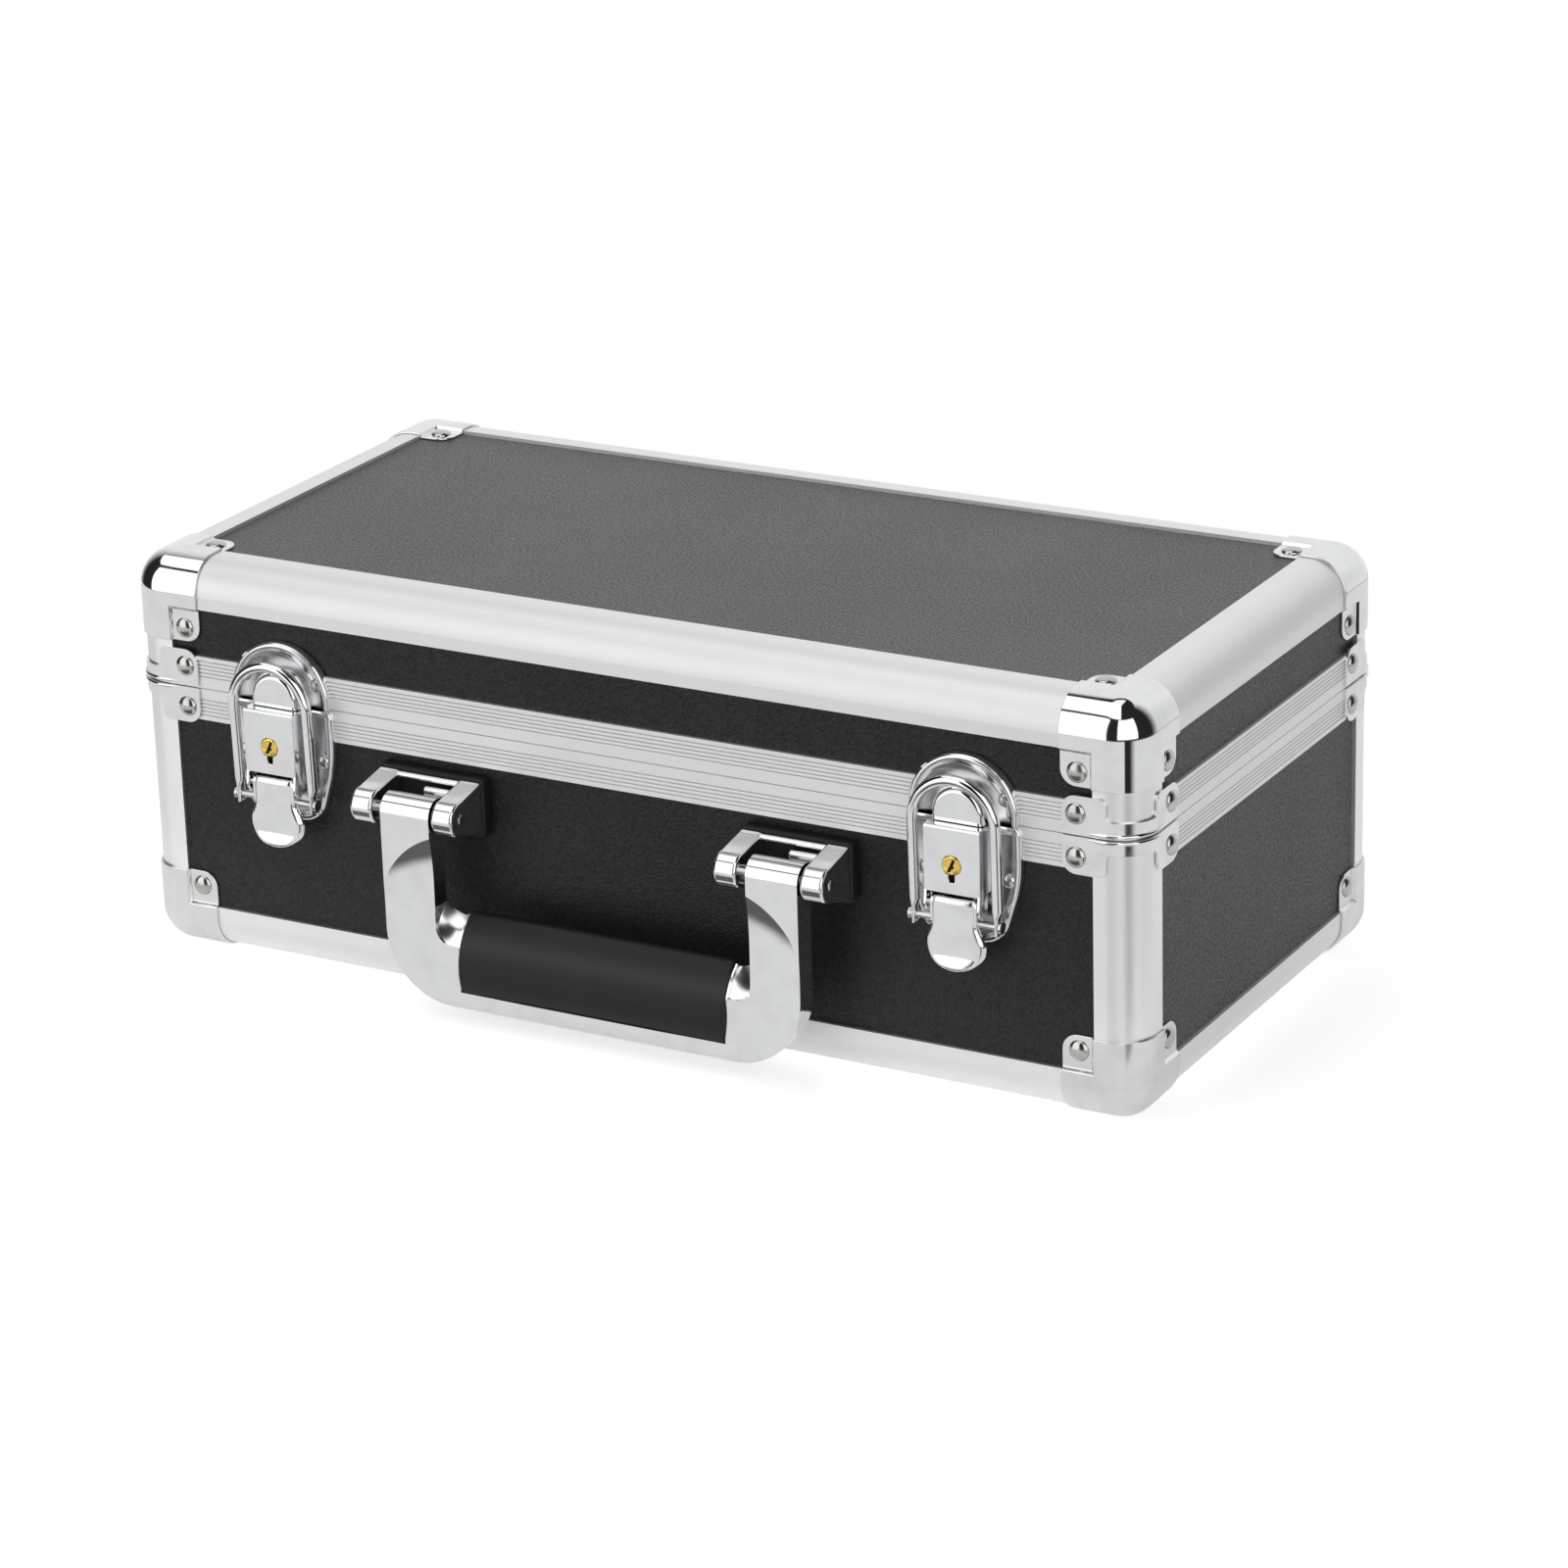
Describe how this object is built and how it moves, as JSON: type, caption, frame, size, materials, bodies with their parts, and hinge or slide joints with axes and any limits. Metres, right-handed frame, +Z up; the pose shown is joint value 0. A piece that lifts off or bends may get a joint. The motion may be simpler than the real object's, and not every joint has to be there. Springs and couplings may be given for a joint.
{
  "type": "art supply box",
  "caption": "Rectangular carrying case of black laminate boards in aluminium edge rails, with a hinged lid, key-lock draw latches and a drop handle.",
  "frame": {"origin": "middle of the bounding box at the plane the corner caps stand on", "axes": "+X along the case to the right seen from the front, -Y out of the front with latches and handle, +Z up"},
  "size_m": [0.3542, 0.2001, 0.1317],
  "materials": {
    "laminate": "fine pebble-grain black laminate on board",
    "aluminium": "satin anodised extrusion",
    "chrome": "polished plated steel",
    "nickel": "bright nickel-plated domed heads",
    "brass": "turned brass",
    "pin_steel": "drawn steel wire",
    "grip_rubber": "smooth black moulded grip",
    "pad_rubber": "black moulded pad",
    "foam": "thin black foam lining"
  },
  "bodies": {
    "base": {"base_back_panel": "laminate", "base_corner_caps": "chrome", "base_corner_posts": "aluminium", "base_edge_back": "aluminium", "base_edge_front": "aluminium", "base_edge_left": "aluminium", "base_edge_right": "aluminium", "base_front_panel": "laminate", "base_left_panel": "laminate", "base_lining": "foam", "base_right_panel": "laminate", "base_rim_back": "aluminium", "base_rim_brackets": "chrome", "base_rim_front": "aluminium", "base_rim_left": "aluminium", "base_rim_right": "aluminium", "base_rivets": "nickel", "floor_panel": "laminate", "handle_pads": "pad_rubber", "handle_pins": "pin_steel", "hinge_base_leaves": "chrome", "hinge_pins": "pin_steel", "latch_lever_pins": "pin_steel", "left_handle_bracket": "chrome", "left_latch_plate": "chrome", "left_lock_housing": "chrome", "right_handle_bracket": "chrome", "right_latch_plate": "chrome", "right_lock_housing": "chrome"},
    "lid": {"top_panel": "laminate", "lid_front_panel": "laminate", "lid_back_panel": "laminate", "lid_left_panel": "laminate", "lid_right_panel": "laminate", "lid_edge_front": "aluminium", "lid_edge_back": "aluminium", "lid_edge_left": "aluminium", "lid_edge_right": "aluminium", "lid_rim_front": "aluminium", "lid_rim_back": "aluminium", "lid_rim_left": "aluminium", "lid_rim_right": "aluminium", "lid_corner_posts": "aluminium", "lid_ball_corners": "chrome", "lid_rim_brackets": "chrome", "lid_rivets": "nickel", "lid_lining": "foam", "left_latch_strike": "chrome", "right_latch_strike": "chrome", "hinge_lid_leaves": "chrome"},
    "handle": {"handle_frame": "chrome", "handle_grip": "grip_rubber"},
    "left_lever": {"left_latch_lever": "chrome", "left_bail_pin": "pin_steel"},
    "left_bail": {"left_latch_bail": "chrome"},
    "left_cylinder": {"left_lock_cylinder": "brass"},
    "right_lever": {"right_latch_lever": "chrome", "right_bail_pin": "pin_steel"},
    "right_bail": {"right_latch_bail": "chrome"},
    "right_cylinder": {"right_lock_cylinder": "brass"}
  },
  "joints": [
    {"name": "lid_hinge", "type": "hinge", "parent": "base", "child": "lid", "pos_m": [0, 0.09715, 0.0898], "axis": [-1, 0, 0], "range_deg": [0, 100]},
    {"name": "handle_swing", "type": "hinge", "parent": "base", "child": "handle", "pos_m": [0, -0.09335, 0.0676], "axis": [-1, 0, 0], "range_deg": [0, 100]},
    {"name": "left_lever_swing", "type": "hinge", "parent": "base", "child": "left_lever", "pos_m": [-0.119, -0.08515, 0.0648], "axis": [-1, 0, 0], "range_deg": [0, 110]},
    {"name": "left_bail_swing", "type": "hinge", "parent": "left_lever", "child": "left_bail", "pos_m": [-0.119, -0.08465, 0.0598], "axis": [-1, 0, 0], "range_deg": [-110, 0]},
    {"name": "left_key_turn", "type": "hinge", "parent": "base", "child": "left_cylinder", "pos_m": [-0.119, -0.08765, 0.0777], "axis": [0, 1, 0], "range_deg": [0, 90]},
    {"name": "right_lever_swing", "type": "hinge", "parent": "base", "child": "right_lever", "pos_m": [0.119, -0.08515, 0.0648], "axis": [-1, 0, 0], "range_deg": [0, 110]},
    {"name": "right_bail_swing", "type": "hinge", "parent": "right_lever", "child": "right_bail", "pos_m": [0.119, -0.08465, 0.0598], "axis": [-1, 0, 0], "range_deg": [-110, 0]},
    {"name": "right_key_turn", "type": "hinge", "parent": "base", "child": "right_cylinder", "pos_m": [0.119, -0.08765, 0.0777], "axis": [0, 1, 0], "range_deg": [0, 90]}
  ],
  "couplings": [
    {"joint": "left_bail_swing", "follows": "left_lever_swing", "ratio": -1},
    {"joint": "right_bail_swing", "follows": "right_lever_swing", "ratio": -1}
  ]
}
